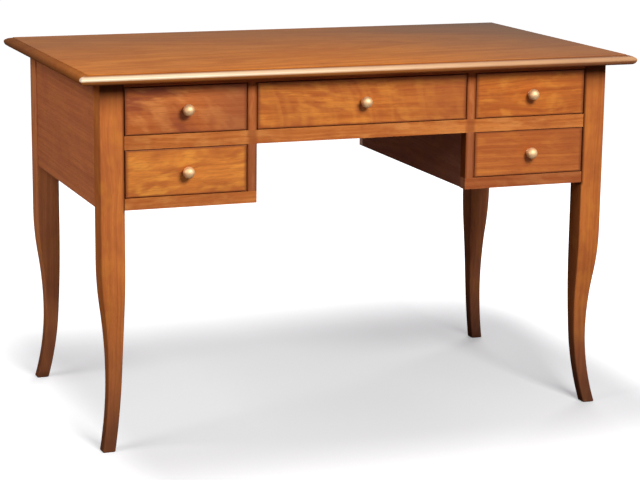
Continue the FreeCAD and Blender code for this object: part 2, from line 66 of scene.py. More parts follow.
class Signal:
    """An output of a shader node, which Python operators turn into Math nodes."""

    def __init__(self, bench: "ShaderBench", socket: bpy.types.NodeSocket | None) -> None:
        """Keeps the bench that the node is on, and the socket, which an end node lacks."""
        self.bench = bench
        self.socket = socket

    def _math(self, operation: str, first: Operand, second: Operand = 0.0) -> "Signal":
        """Adds a Math node for one or two operands."""
        return self.bench.node("ShaderNodeMath", {"operation": operation}, {0: first, 1: second})

    def __add__(self, other: Operand) -> "Signal":
        """Sum of two values."""
        return self._math("ADD", self, other)

    def __sub__(self, other: Operand) -> "Signal":
        """This value less another."""
        return self._math("SUBTRACT", self, other)

    def __rsub__(self, other: Operand) -> "Signal":
        """Another value less this one."""
        return self._math("SUBTRACT", other, self)

    def __mul__(self, other: Operand) -> "Signal":
        """Product of two values."""
        return self._math("MULTIPLY", self, other)

    def __truediv__(self, other: Operand) -> "Signal":
        """This value over another."""
        return self._math("DIVIDE", self, other)

    def __rtruediv__(self, other: Operand) -> "Signal":
        """Another value over this one."""
        return self._math("DIVIDE", other, self)

    __radd__ = __add__
    __rmul__ = __mul__

    def __neg__(self) -> "Signal":
        """The value with its sign turned."""
        return self * -1.0

    def __abs__(self) -> "Signal":
        """The value without its sign."""
        return self._math("ABSOLUTE", self)

    def root(self) -> "Signal":
        """Square root."""
        return self._math("SQRT", self)

    def at_least(self, other: Operand) -> "Signal":
        """The larger of two values."""
        return self._math("MAXIMUM", self, other)

    def at_most(self, other: Operand) -> "Signal":
        """The smaller of two values."""
        return self._math("MINIMUM", self, other)

    def wave(self) -> "Signal":
        """Sine, with the angle in radians."""
        return self._math("SINE", self)

    def centred(self) -> "Signal":
        """Noise about its mean, from -0.5 to 0.5."""
        return self - 0.5

    def ramp(self, low: float, high: float) -> "Signal":
        """A smooth step from 0 at one value to 1 at another.

        Args:
            low: The value that gives 0.
            high: The value that gives 1, which may be the smaller of the two.

        Returns:
            The step, held at 0 and 1 outside the two values.
        """
        if low > high:
            return 1.0 - self.ramp(high, low)
        settings = {"interpolation_type": "SMOOTHSTEP"}
        sockets = {"Value": self, "From Min": low, "From Max": high}
        return self.bench.node("ShaderNodeMapRange", settings, sockets)


class ShaderBench:
    """The node tree of one material or world, and the tools that fill it."""

    def __init__(self, owner: bpy.types.ID) -> None:
        """Empties the owner's node tree.

        Args:
            owner: The material or the world.
        """
        owner.use_nodes = True
        self.tree = owner.node_tree
        self.tree.nodes.clear()

    def node(
        self,
        kind: str,
        settings: Mapping[str, Any] | None = None,
        sockets: Mapping[int | str, Any] | None = None,
        output: int | str = 0,
    ) -> Signal:
        """Adds any node.

        Args:
            kind: The node's type.
            settings: Its properties, which are set first.
            sockets: Values or signals for its inputs, by number, identifier or name.
            output: The output that is handed back.

        Returns:
            The chosen output, which is empty for a node that ends the tree.
        """
        made = self.tree.nodes.new(kind)
        for name, setting in (settings or {}).items():
            setattr(made, name, setting)
        for key, content in (sockets or {}).items():
            socket = self._find(made.inputs, key)
            if isinstance(content, Signal):
                self.tree.links.new(content.socket, socket)
            elif socket.type == "RGBA":
                socket.default_value = (*content, 1.0)
            else:
                socket.default_value = content
        return Signal(self, self._find(made.outputs, output) if made.outputs else None)

    @staticmethod
    def _find(sockets: Any, key: int | str) -> bpy.types.NodeSocket:
        """Finds a socket.

        Args:
            sockets: A node's inputs or outputs.
            key: The socket's number, identifier or name.

        Returns:
            The socket.
        """
        if isinstance(key, int):
            return sockets[key]
        known = {socket.identifier: socket for socket in sockets}
        return known[key] if key in known else sockets[key]

    def parts(self, vector: Signal, axes: str = AXES) -> list[Signal]:
        """A vector's values along the named axes."""
        return [self.node("ShaderNodeSeparateXYZ", None, {0: vector}, axis) for axis in axes]

    def spot(self) -> Signal:
        """The place on the desk at rest, in metres, as a vector."""
        return self.node("ShaderNodeTexCoord", output="Object")

    def place(self, axes: str = AXES) -> list[Signal]:
        """The place on the desk at rest, in metres, along the named axes."""
        return self.parts(self.spot(), axes)

    def facing(self, axes: str = AXES) -> list[Signal]:
        """The way that the surface faces, along the named axes."""
        return self.parts(self.node("ShaderNodeNewGeometry", output="Normal"), axes)

    def vector(self, x: Operand, y: Operand, z: Operand) -> Signal:
        """Three values as one vector."""
        return self.node("ShaderNodeCombineXYZ", None, {"X": x, "Y": y, "Z": z})

    def mix(self, share: Operand, first: Any, second: Any) -> Signal:
        """Blends two colours.

        Args:
            share: How much of the second colour there is.
            first: A colour or a colour signal.
            second: Another one.

        Returns:
            The blended colour.
        """
        sockets = {"Factor_Float": share, "A_Color": first, "B_Color": second}
        return self.node("ShaderNodeMix", {"data_type": "RGBA"}, sockets, "Result_Color")

    def layered(self, colour: Signal, layers: Iterable[tuple[Operand, Any]]) -> Signal:
        """Lays tones over a colour, one after the other.

        Args:
            colour: The colour below.
            layers: The share and the tone of each layer.

        Returns:
            The colour with its layers.
        """
        for share, tone in layers:
            colour = self.mix(share, colour, tone)
        return colour

    def bump(self, height: Signal, depth: float, strength: float) -> Signal:
        """Turns a height from 0 to 1 into a normal.

        Args:
            height: The height value.
            depth: What a height of 1 measures, in metres.
            strength: How much of the effect is kept.

        Returns:
            The normal.
        """
        sockets = {"Height": height, "Distance": depth, "Strength": strength}
        return self.node("ShaderNodeBump", None, sockets)

    def surface(self, sockets: Mapping[int | str, Any]) -> None:
        """Ends the tree in a Principled shader with these sockets."""
        shader = self.node("ShaderNodeBsdfPrincipled", None, sockets)
        self.node("ShaderNodeOutputMaterial", None, {"Surface": shader})


class Cut(Enum):
    """How a board lies: the axes along its grain, across its face and into its thickness."""

    TOP = "XYZ"
    FRONT = "XZY"
    UPRIGHT = "ZXY"
    SIDE = "YZX"
    FLOOR = "YXZ"


class End(Enum):
    """The sitter's end of the desk's depth, or the far one."""

    FRONT = "front"
    BACK = "back"


class Side(Enum):
    """A side of the desk, as the sitter sees it."""

    LEFT = "left"
    RIGHT = "right"


# A change laid over a board's colour, such as wear, dirt, painted shade or a painted highlight.
WearAndShade = Callable[[ShaderBench, Signal], Signal]
Cover = Callable[[ShaderBench], Signal]


@dataclass(frozen=True)
class Mark:
    """One kind of mark on a surface: noise at its own pitch, and the noise values that show it."""

    pitch: Place
    detail: float = 2.0
    roughness: float = 0.5
    faint: float = 0.4
    full: float = 0.7

    def noise(self, bench: ShaderBench, spot: Signal, offset: Place = (0.0, 0.0, 0.0)) -> Signal:
        """Reads the mark's noise.

        Args:
            bench: The material's bench.
            spot: The place on the surface, in metres.
            offset: How far the noise is moved, in its own units.

        Returns:
            The noise, from 0 to 1.
        """
        settings = {"operation": "MULTIPLY_ADD"}
        scaled = bench.node("ShaderNodeVectorMath", settings, {0: spot, 1: self.pitch, 2: offset})
        sockets = {
            "Vector": scaled, "Scale": 1.0, "Detail": self.detail, "Roughness": self.roughness}
        return bench.node("ShaderNodeTexNoise", None, sockets, "Fac")

    def fade(self, noise: Signal) -> Signal:
        """How strongly the mark shows at a noise value, from 0 to 1."""
        return noise.ramp(self.faint, self.full)

    def shown(self, bench: ShaderBench, spot: Signal, offset: Place = (0.0, 0.0, 0.0)) -> Signal:
        """How strongly the mark shows at a place, from 0 to 1."""
        return self.fade(self.noise(bench, spot, offset))


RINGS = Mark((1.0, 1.3, 0.0), detail=3.0, roughness=0.62, faint=0.34, full=0.68)
FIBRES = Mark((16.0, 520.0, 520.0), detail=3.0, roughness=0.6, faint=0.45, full=0.75)
STREAKS = Mark((4.0, 2.3, 20.0), faint=0.52, full=0.76)
PORES = Mark((70.0, 1100.0, 1100.0), detail=0.0, faint=0.64, full=0.74)
PATCHES = Mark((8.0, 17.0, 17.0), detail=3.0, roughness=0.6, faint=0.42, full=0.66)
CLOUDS = Mark((17.0, 40.0, 40.0), roughness=0.6, faint=0.46, full=0.68)
CURLS = Mark((62.0, 9.0, 9.0), detail=1.0, faint=0.42, full=0.7)
PLY_WARP = Mark((5.0, 2.0, 0.0))
PLY_FLAMES = Mark((14.0, 1.5, 0.0), detail=3.0, faint=0.45, full=0.62)
PLY_FIBRES = Mark((480.0, 14.0, 480.0), faint=0.5, full=0.8)
LATHE_RINGS = Mark((60.0, 5200.0, 60.0))
TARNISH = Mark((160.0, 160.0, 160.0), detail=3.0, faint=0.42, full=0.7)
# Clouds in the painted shade and haze on the top.
TOP_SHADE_CLOUDS = Mark((3.0, 6.0, 1.0))
# Spots in the painted highlight on the top's front nose.
NOSE_HIGHLIGHT_SPOTS = Mark((9.0, 40.0, 40.0))
# Clouds in the painted shade towards the legs' feet.
FOOT_SHADE_CLOUDS = Mark((24.0, 24.0, 7.0))
TOE_SCUFFS = Mark((160.0, 160.0, 60.0), detail=3.0, faint=0.6, full=0.75)
CROSSING_DIRT = Mark((70.0, 70.0, 0.0), detail=3.0, roughness=0.6)


@dataclass(frozen=True)
class Figure:
    """How strongly each kind of mark shows on a board, from 0 to 1, and the plain fibre noise."""

    rings: Signal
    patches: Signal
    clouds: Signal
    curls: Signal
    streaks: Signal
    fibres: Signal
    pores: Signal
    grain: Signal


@dataclass(frozen=True)
class Sawing:
    """Where boards come out of a log, as the limits of each draw, in metres and noise units."""

    shift: Point = (0.0, 40.0)
    heart_deep: Point = (0.07, 0.16)
    lean: Point = (-0.09, 0.09)
    heart_aside: Point = (-0.03, 0.05)


SAWING = Sawing()


@dataclass(frozen=True)
class Timber:
    """A wood and its lacquer: early wood, late wood, patches, figure, fibres and pores."""

    early: Colour
    late: Colour
    patch: Colour
    gleam: Colour
    pore: Colour
    ring_width: float = 0.008
    drift_pitch: Point = (2.6, 8.0)
    sway: float = 0.05
    back_sway: float = 1.4
    patch_share: float = 0.55
    patch_wander: float = 3.0 / 17.0
    figure_share: float = 0.15
    figure_wander: float = 0.1
    tilt: float = 0.0
    curl_share: float = 0.0
    curl_slant: float = 0.25
    curl_wander: float = 0.04
    fibre_share: float = 0.2
    streak_gain: float = 1.8
    pore_share: float = 0.3
    roughness: float = 0.45
    fibre_rough: float = 0.16
    pore_rough: float = 0.12
    shine: float = 0.16
    coat: float = 0.06
    coat_roughness: float = 0.3
    fibre_height: float = 0.5
    pore_height: float = 0.5
    ring_height: float = 0.2
    relief: float = 0.00025
    relief_share: float = 0.35

    def figure(self, bench: ShaderBench, name: str, cut: Cut) -> Figure:
        """Lays the wood's marks over a board.

        Args:
            bench: The material's bench.
            name: The material's name, which seeds the board's place in its log.
            cut: How the board lies.

        Returns:
            The board's marks.
        """
        lot = random.Random(name)
        shift = lot.uniform(*SAWING.shift)
        heart = lot.uniform(*SAWING.heart_deep)
        lean = lot.uniform(*SAWING.lean)
        middle = lot.uniform(*SAWING.heart_aside)
        start, deep = (shift, 0.0, 0.0), (0.0, 0.0, shift)
        place = dict(zip(AXES, bench.place()))
        along, across, into = (place[axis] for axis in cut.value)
        board = bench.vector(along, across, into)

        run, spread = self.drift_pitch
        drift = Mark((run, spread, spread)).noise(bench, board, (shift, 0.0, shift)).centred()
        side = across - middle + drift * self.sway
        back = into + along * lean + drift * (self.sway * self.back_sway) + heart
        ring = (side * side + back * back).root() / self.ring_width
        leant = across + along * self.tilt
        slant = along + across * self.curl_slant + drift * self.curl_wander
        patched = bench.vector(along, leant + drift * self.patch_wander, into)
        clouded = bench.vector(along, leant + drift * self.figure_wander, into)
        grain = FIBRES.noise(bench, board, deep)
        return Figure(
            rings=RINGS.shown(bench, bench.vector(ring, along, 0.0), (0.0, shift, shift)),
            patches=PATCHES.shown(bench, patched, start),
            clouds=CLOUDS.shown(bench, clouded, deep),
            curls=CURLS.shown(bench, bench.vector(slant, across, into), start),
            streaks=STREAKS.shown(bench, bench.vector(along, ring, into), start),
            fibres=FIBRES.fade(grain),
            pores=PORES.shown(bench, board, deep),
            grain=grain,
        )

    def material(
        self, name: str, cut: Cut, wear_and_shade: WearAndShade | None = None, cover: Cover | None = None
    ) -> bpy.types.Material:
        """Makes the wood of one board, which differs from board to board with the name.

        Args:
            name: The material's name, which also seeds the board's place in its log.
            cut: How the board lies.
            wear_and_shade: Wear and painted light laid over the finished colour, if the board has
                any.
            cover: Where the lacquer is, from 0 to 1, if it isn't all over.

        Returns:
            The material.
        """
        made = bpy.data.materials.new(name)
        bench = ShaderBench(made)
        figure = self.figure(bench, name, cut)
        colour = bench.layered(bench.mix(figure.rings, self.early, self.late), (
            (figure.patches * self.patch_share, self.patch),
            (figure.clouds * self.figure_share, self.gleam),
            (figure.curls * self.curl_share, self.gleam),
            (figure.streaks * (self.fibre_share * self.streak_gain), self.late),
            (figure.fibres * self.fibre_share, self.pore),
            (figure.pores * self.pore_share, self.pore),
        ))
        if wear_and_shade:
            colour = wear_and_shade(bench, colour)
        height = figure.grain * self.fibre_height - figure.pores * self.pore_height
        height = height + figure.rings * self.ring_height
        uneven = figure.grain.centred() * self.fibre_rough + figure.pores * self.pore_rough
        bench.surface({
            "Base Color": colour,
            "Roughness": self.roughness + uneven,
            "Specular IOR Level": self.shine,
            "Coat Weight": cover(bench) * self.coat if cover else self.coat,
            "Coat Roughness": self.coat_roughness,
            "Normal": bench.bump(height, self.relief, self.relief_share),
        })
        return made


@dataclass(frozen=True)
class Plywood:
    """Rotary-cut birch plywood, with its plies showing on the edges."""

    face: Colour = (0.62, 0.46, 0.29)
    figure: Colour = (0.5, 0.34, 0.19)
    glue: Colour = (0.24, 0.14, 0.07)
    flame_pull: float = 9.0 / 14.0
    fibre_share: float = 0.3
    ply_thick: float = 0.0016
    glue_line: Point = (0.55, 0.95)
    glue_share: float = 0.7
    edge_turn: Point = (0.2, 0.6)
    roughness: float = 0.6
    fibre_rough: float = 0.12
    shine: float = 0.0
    relief: float = 0.0002
    relief_share: float = 0.3

    def material(self, name: str) -> bpy.types.Material:
        """Makes the material of one sheet.

        Args:
            name: The material's name, which also seeds its figure.

        Returns:
            The material.
        """
        made = bpy.data.materials.new(name)
        bench = ShaderBench(made)
        shift = random.Random(name).uniform(*SAWING.shift)
        spot = bench.spot()
        x, y, z = bench.parts(spot)
        warp = PLY_WARP.noise(bench, spot, (shift, 0.0, shift))
        warped = bench.vector(x + warp * self.flame_pull, y, z)
        flames = PLY_FLAMES.shown(bench, warped, (0.0, shift, shift))
        fibre = PLY_FIBRES.noise(bench, spot, (0.0, 0.0, shift))
        plies = (z * (math.tau / self.ply_thick)).wave().ramp(*self.glue_line)
        (upward,) = bench.facing("Z")
        edge = 1.0 - (upward * upward).ramp(*self.edge_turn)
        colour = bench.layered(bench.mix(flames, self.face, self.figure), (
            (PLY_FIBRES.fade(fibre) * self.fibre_share, self.glue),
            (plies * edge * self.glue_share, self.glue),
        ))
        bench.surface({
            "Base Color": colour,
            "Roughness": self.roughness + fibre * self.fibre_rough,
            "Specular IOR Level": self.shine,
            "Normal": bench.bump(fibre, self.relief, self.relief_share),
        })
        return made


@dataclass(frozen=True)
class Metal:
    """A turned and brushed metal, with fine rings from the lathe, a slight tarnish and, where
    asked, painted shade on its underside.
    """

    bright: Colour
    tarnish: Colour
    roughness: float
    metallic: float = 1.0
    tarnish_share: float = 0.5
    # Painted shade on the underside:
    under_shade_share: float = 0.0
    under_shade_turn: float = 0.35
    under_shade_cloud: float = 0.8
    underside_shade: Colour = (0.2, 0.115, 0.05)
    lathe_rough: float = 0.14
    tarnish_rough: float = 0.1
    relief: float = 0.00004
    relief_share: float = 0.35

    def material(self, name: str) -> bpy.types.Material:
        """Makes the metal.

        Args:
            name: The material's name.

        Returns:
            The material.
        """
        made = bpy.data.materials.new(name)
        bench = ShaderBench(made)
        spot = bench.spot()
        lathe = LATHE_RINGS.noise(bench, spot)
        cloud = TARNISH.noise(bench, spot)
        colour = bench.mix(TARNISH.fade(cloud) * self.tarnish_share, self.bright, self.tarnish)
        # Painted shade on the faces that look down, clouded by the tarnish.
        if self.under_shade_share:
            (upward,) = bench.facing("Z")
            under = upward + cloud.centred() * self.under_shade_cloud
            under = under.ramp(self.under_shade_turn, -self.under_shade_turn)
            colour = bench.mix(under * self.under_shade_share, colour, self.underside_shade)
        rough = lathe.centred() * self.lathe_rough + cloud.centred() * self.tarnish_rough
        bench.surface({
            "Base Color": colour,
            "Metallic": self.metallic,
            "Roughness": self.roughness + rough,
            "Normal": bench.bump(lathe, self.relief, self.relief_share),
        })
        return made


@dataclass(frozen=True)
class DarkRim:
    """Painted shade along the edges of a board, beside the gaps and parts next to it."""

    node: str
    wides: Mapping[str, float]
    share: float
    colour: Colour = (0.19, 0.042, 0.009)

    def wear_and_shade(self, bench: ShaderBench, colour: Signal) -> Signal:
        """Darkens a board's colour towards its edges.

        Args:
            bench: The material's bench.
            colour: The wood's colour.

        Returns:
            The colour with its darker rim.
        """
        low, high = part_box(self.node)
        place = dict(zip(AXES, bench.place()))
        rims = []
        for axis, wide in self.wides.items():
            number = AXES.index(axis)
            rims += [(place[axis] - low[number]) / wide, (high[number] - place[axis]) / wide]
        nearest = rims[0]
        for rim in rims[1:]:
            nearest = nearest.at_most(rim)
        return bench.mix(nearest.ramp(1.0, 0.0) * self.share, colour, self.colour)


CHERRY = Timber(
    early=(0.6, 0.18, 0.028), late=(0.4, 0.092, 0.013), patch=(0.38, 0.092, 0.018),
    gleam=(0.72, 0.26, 0.04), pore=(0.17, 0.035, 0.008))
DULL_CHERRY = replace(
    CHERRY, early=(0.6, 0.178, 0.054), late=(0.48, 0.13, 0.042), patch=(0.46, 0.12, 0.04),
    shine=0.02, coat=0.0, roughness=0.62)
# A darker, greyer copy for the kneehole panels: painted shade for their place under the desk.
INNER_CHERRY = replace(
    DULL_CHERRY, early=(0.51, 0.192, 0.115), late=(0.405, 0.141, 0.085),
    patch=(0.38, 0.135, 0.082), shine=0.0)
SHADED_CHERRY = replace(
    DULL_CHERRY, early=(0.5, 0.132, 0.04), late=(0.38, 0.094, 0.03), patch=(0.36, 0.09, 0.028))
RAIL_CHERRY = replace(
    CHERRY, early=(0.63, 0.208, 0.05), late=(0.46, 0.126, 0.028), patch=(0.42, 0.114, 0.03),
    gleam=(0.74, 0.3, 0.08), sway=0.07, figure_share=0.45, patch_share=0.65, shine=0.02, coat=0.0)
RED_RAIL_CHERRY = replace(
    RAIL_CHERRY, early=(0.45, 0.134, 0.04), late=(0.33, 0.082, 0.023), patch=(0.3, 0.074, 0.024),
    gleam=(0.52, 0.19, 0.063))
STILE_CHERRY = replace(
    RAIL_CHERRY, early=(0.52, 0.16, 0.05), late=(0.41, 0.112, 0.034), gleam=(0.64, 0.235, 0.08),
    shine=0.0)
LOW_STILE_CHERRY = replace(
    STILE_CHERRY, early=(0.42, 0.134, 0.052), late=(0.332, 0.094, 0.035),
    patch=(0.34, 0.096, 0.031), gleam=(0.52, 0.197, 0.083))
TOP_CHERRY = replace(
    CHERRY, early=(0.61, 0.207, 0.04), late=(0.475, 0.145, 0.028), drift_pitch=(1.0, 6.0),
    patch_share=0.25, shine=0.0, coat=1.0, coat_roughness=0.35)
LEG_CHERRY = replace(
    CHERRY, early=(0.65, 0.2, 0.05), late=(0.52, 0.146, 0.037), patch=(0.43, 0.116, 0.035),
    shine=0.0, coat=0.0, roughness=0.55, ring_width=0.006, fibre_share=0.14, pore_share=0.15,
    figure_share=0.3)
FIGURED_CHERRY = replace(CHERRY, sway=0.09, patch_share=0.7, figure_share=0.6)
BEECH = Timber(
    early=(0.6, 0.4, 0.235), late=(0.5, 0.31, 0.165), patch=(0.53, 0.33, 0.18),
    gleam=(0.65, 0.45, 0.27), pore=(0.3, 0.16, 0.075), ring_width=0.006, pore_share=0.5,
    roughness=0.55, shine=0.2, coat=0.0)
PLYWOOD = Plywood()
# Brass with painted shade on the knobs' undersides.
BRASS = Metal(
    bright=(0.88, 0.56, 0.285), tarnish=(0.66, 0.395, 0.185), roughness=0.56, metallic=0.6,
    under_shade_share=0.6)
STEEL = Metal(bright=(0.62, 0.62, 0.63), tarnish=(0.42, 0.42, 0.44), roughness=0.38)

# Each leg's wood and share of painted shade towards the foot. The copies differ as painted light:
# the back legs lighter and greyer, the front-right one darker.
LEG_WOODS_AND_SHADES: dict[tuple[End, Side], tuple[Timber, float]] = {
    (End.FRONT, Side.LEFT): (LEG_CHERRY, 0.6),
    (End.FRONT, Side.RIGHT): (replace(
        LEG_CHERRY, early=(0.6, 0.182, 0.042), late=(0.47, 0.132, 0.031),
        patch=(0.38, 0.1, 0.03)), 0.68),
    (End.BACK, Side.LEFT): (replace(
        LEG_CHERRY, early=(0.8, 0.28, 0.11), late=(0.65, 0.207, 0.082),
        patch=(0.54, 0.168, 0.074)), 0.35),
    (End.BACK, Side.RIGHT): (replace(
        LEG_CHERRY, early=(0.71, 0.248, 0.1), late=(0.57, 0.18, 0.075),
        patch=(0.48, 0.148, 0.066)), 0.6),
}
DRAWER_WOODS: dict[str, tuple[Timber, float]] = {
    "left_upper_drawer": (replace(
        FIGURED_CHERRY, early=(0.53, 0.15, 0.034), patch=(0.26, 0.054, 0.018),
        gleam=(0.74, 0.28, 0.075), patch_share=0.9, figure_share=0.5, tilt=0.3), 0.6),
    "left_lower_drawer": (replace(
        FIGURED_CHERRY, early=(0.69, 0.225, 0.036), late=(0.52, 0.148, 0.025),
        patch=(0.38, 0.088, 0.016), gleam=(0.84, 0.34, 0.05), ring_width=0.014, tilt=-0.2), 0.0),
    "centre_drawer": (replace(FIGURED_CHERRY, curl_share=0.3, tilt=0.12), 0.42),
    "right_upper_drawer": (replace(
        FIGURED_CHERRY, early=(0.6, 0.17, 0.024), patch_share=0.5), 0.14),
    "right_lower_drawer": (replace(
        FIGURED_CHERRY, early=(0.56, 0.168, 0.034), late=(0.38, 0.09, 0.018), sway=0.03,
        ring_width=0.006, figure_share=0.2), 0.16),
}


def arc_from(start: Point, heading: float, end: Point, steps: int) -> tuple[list[Point], float]:
    """Follows the arc that leaves a point in a heading and ends at another point.

    Args:
        start: Where the arc starts.
        heading: Its direction there, in radians.
        end: Where it ends.
        steps: How many points it gets.

    Returns:
        The points after the start, and the heading at the end.
    """
    reach = (end[0] - start[0], end[1] - start[1])
    half_turn = (math.atan2(reach[1], reach[0]) - heading + math.pi) % math.tau - math.pi
    radius = math.hypot(*reach) / (2.0 * math.sin(half_turn))
    points = []
    for step in range(1, steps + 1):
        turned = heading + 2.0 * half_turn * step / steps
        points.append((
            start[0] + radius * (math.sin(turned) - math.sin(heading)),
            start[1] + radius * (math.cos(heading) - math.cos(turned)),
        ))
    return points, heading + 2.0 * half_turn


def arcs_through(places: Sequence[Point], heading: float, steps: int) -> list[Point]:
    """Joins places by arcs that run smoothly into each other.

    Args:
        places: The first place and the end of each arc.
        heading: The direction at the first place, in radians.
        steps: How many points each arc gets.

    Returns:
        The points, with the first place.
    """
    points = [places[0]]
    for start, end in zip(places, places[1:]):
        more, heading = arc_from(start, heading, end, steps)
        points += more
    return points


def lofted(name: str, rings: Sequence[Sequence[Place]], sharp_bend: float) -> bpy.types.Object:
    """Skins a closed mesh through rings of points, with flat ends.

    Args:
        name: The piece's name.
        rings: The rings, each with as many points, counter-clockwise seen from the last ring.
        sharp_bend: Edges that bend more than this stay sharp, in degrees.

    Returns:
        The new object, linked to the scene.
    """
    around = len(rings[0])
    faces = [tuple(reversed(range(around)))]
    for level in range(len(rings) - 1):
        low, high = level * around, (level + 1) * around
        for spot in range(around):
            after = (spot + 1) % around
            faces.append((low + spot, low + after, high + after, high + spot))
    last = (len(rings) - 1) * around
    faces.append(tuple(range(last, last + around)))
    mesh = bpy.data.meshes.new(name)
    mesh.from_pydata([tuple(point) for ring in rings for point in ring], [], faces)
    mesh.shade_smooth()
    mesh.set_sharp_from_angle(angle=math.radians(sharp_bend))
    mesh.validate()
    piece = bpy.data.objects.new(name, mesh)
    bpy.context.scene.collection.objects.link(piece)
    return piece


def dress(piece: bpy.types.Object, material: bpy.types.Material) -> None:
    """Gives a piece one material in place of what it had."""
    piece.data.materials.clear()
    piece.data.materials.append(material)


def dress_node(node: str, material: bpy.types.Material) -> None:
    """Gives a CAD node its material."""
    dress(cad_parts[node], material)
    LOG.info("%s dressed", node)


def stand_in(piece: bpy.types.Object, node: str, body: str) -> None:
    """Puts a finer piece in place of a CAD node.

    Args:
        piece: The finer piece, modelled where the node is.
        node: The node's name.
        body: The body that carries it.
    """
    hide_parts(node)
    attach(piece, body)
    LOG.info("%s stands for %s on %s", piece.name, node, body)


@dataclass
class MouldedTop:
    """The writing board, with a quirk, an ovolo and a round nose along all four edges."""

    edge_wide: float = 0.017
    quirk_deep: float = 0.0015
    nose_drop: float = 0.0105
    turn_inset: float = 0.002
    turn_drop: float = 0.0065
    arris: float = 0.0006
    arc_steps: int = 10
    sharp_bend: float = 35.0
    # Painted shade and a greyish painted reflection haze, growing towards the back and the right of
    # the board:
    back_fade: float = 0.5
    right_shade: float = 0.48
    uneven_shade: float = 0.3
    shade_and_haze: Colour = (0.18, 0.115, 0.08)
    # Painted shade on the moulding all round the board:
    edge_soft: float = 0.002
    edge_shade_share: float = 0.5
    edge_shade: Colour = (0.16, 0.045, 0.018)
    nose_soft: float = 0.001
    nose_under: float = 0.003
    nose_over: Point = (0.0018, 0.0055)
    # Painted highlight on the upper half of the front nose, palest and strongest at the left end:
    highlight_least: float = 0.2
    highlight_leftward: float = 0.42
    highlight_spots: float = 0.42
    highlight_tone_right: Colour = (0.84, 0.47, 0.21)
    highlight_tone_left: Colour = (0.88, 0.7, 0.45)
    flat_lacquer: float = 0.08

    def __post_init__(self) -> None:
        """Reads the board's corners from the frame."""
        self.low, self.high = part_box("top_panel")

    def section(self) -> list[Point]:
        """Draws the edge's outline from the underside up.

        Returns:
            Distances out from the edge, and heights.
        """
        top = self.high.z
        nose = top - self.nose_drop
        under = self.low.z - nose
        places = [
            (under, self.low.z),
            (0.0, nose),
            (-self.turn_inset, top - self.turn_drop),
            (-self.edge_wide, top - self.quirk_deep),
        ]
        return [
            *arcs_through(places, 0.0, self.arc_steps),
            (-self.edge_wide, top - self.arris),
            (-self.edge_wide - self.arris, top),
        ]

    def painted_shade_and_highlight(self, bench: ShaderBench, colour: Signal) -> Signal:
        """Paints back and right shade and haze, moulding shade and a highlight on the front nose.

        Args:
            bench: The material's bench.
            colour: The wood's colour.

        Returns:
            The colour with its wear.
        """
        spot = bench.spot()
        x, y = bench.parts(spot, "XY")
        # Painted shade and greyish reflection haze towards the back and the right, in uneven
        # clouds.
        fade = y.ramp(self.low.y, self.high.y) * self.back_fade
        fade = fade + x.ramp(0.0, self.high.x) * self.right_shade
        fade = fade + TOP_SHADE_CLOUDS.noise(bench, spot).centred() * self.uneven_shade
        inset = (self.high.x - abs(x)).at_most(self.high.y - abs(y))
        # Painted shade on the moulding, within the edge's width of each side.
        moulding = inset.ramp(self.edge_wide, self.edge_wide - self.edge_soft)
        # Painted highlight on the front nose, strongest towards the left end and in spots.
        leftward = x.ramp(self.high.x, self.low.x)
        spots = NOSE_HIGHLIGHT_SPOTS.noise(bench, spot)
        nose_highlight = leftward * self.highlight_leftward + spots * self.highlight_spots + self.highlight_least
        return bench.layered(colour, (
            (fade.at_least(0.0), self.shade_and_haze),
            (moulding * self.edge_shade_share, self.edge_shade),
            (self.front_nose(bench) * nose_highlight, bench.mix(leftward, self.highlight_tone_right, self.highlight_tone_left)),
        ))

    def front_nose(self, bench: ShaderBench) -> Signal:
        """Finds the upper half of the front edge's nose.

        Args:
            bench: The material's bench.

        Returns:
            1 on it, and 0 elsewhere.
        """
        y, z = bench.place("YZ")
        inner = self.low.y + self.edge_wide
        nose = self.high.z - self.nose_drop
        above, below = (self.high.z - drop for drop in self.nose_over)
        front = y.ramp(inner, inner - self.nose_soft)
        return front * z.ramp(nose - self.nose_under, nose) * z.ramp(above, below)

    def lacquer(self, bench: ShaderBench) -> Signal:
        """Finds the lacquer.

        Args:
            bench: The material's bench.

        Returns:
            1 on the front nose, little on the flat of the board and 0 elsewhere.
        """
        (height,) = bench.place("Z")
        flat = height.ramp(self.high.z - self.arris, self.high.z)
        return flat * self.flat_lacquer + self.front_nose(bench)

    def build(self) -> None:
        """Models the board and puts it in place of the node."""
        rings = []
        for out, height in self.section():
            x0, y0 = self.low.x - out, self.low.y - out
            x1, y1 = self.high.x + out, self.high.y + out
            rings.append([(x0, y0, height), (x1, y0, height), (x1, y1, height), (x0, y1, height)])
        piece = lofted("moulded_top", rings, self.sharp_bend)
        dress(piece, TOP_CHERRY.material("top_cherry", Cut.TOP, self.painted_shade_and_highlight, self.lacquer))
        stand_in(piece, "top_panel", "carcase")


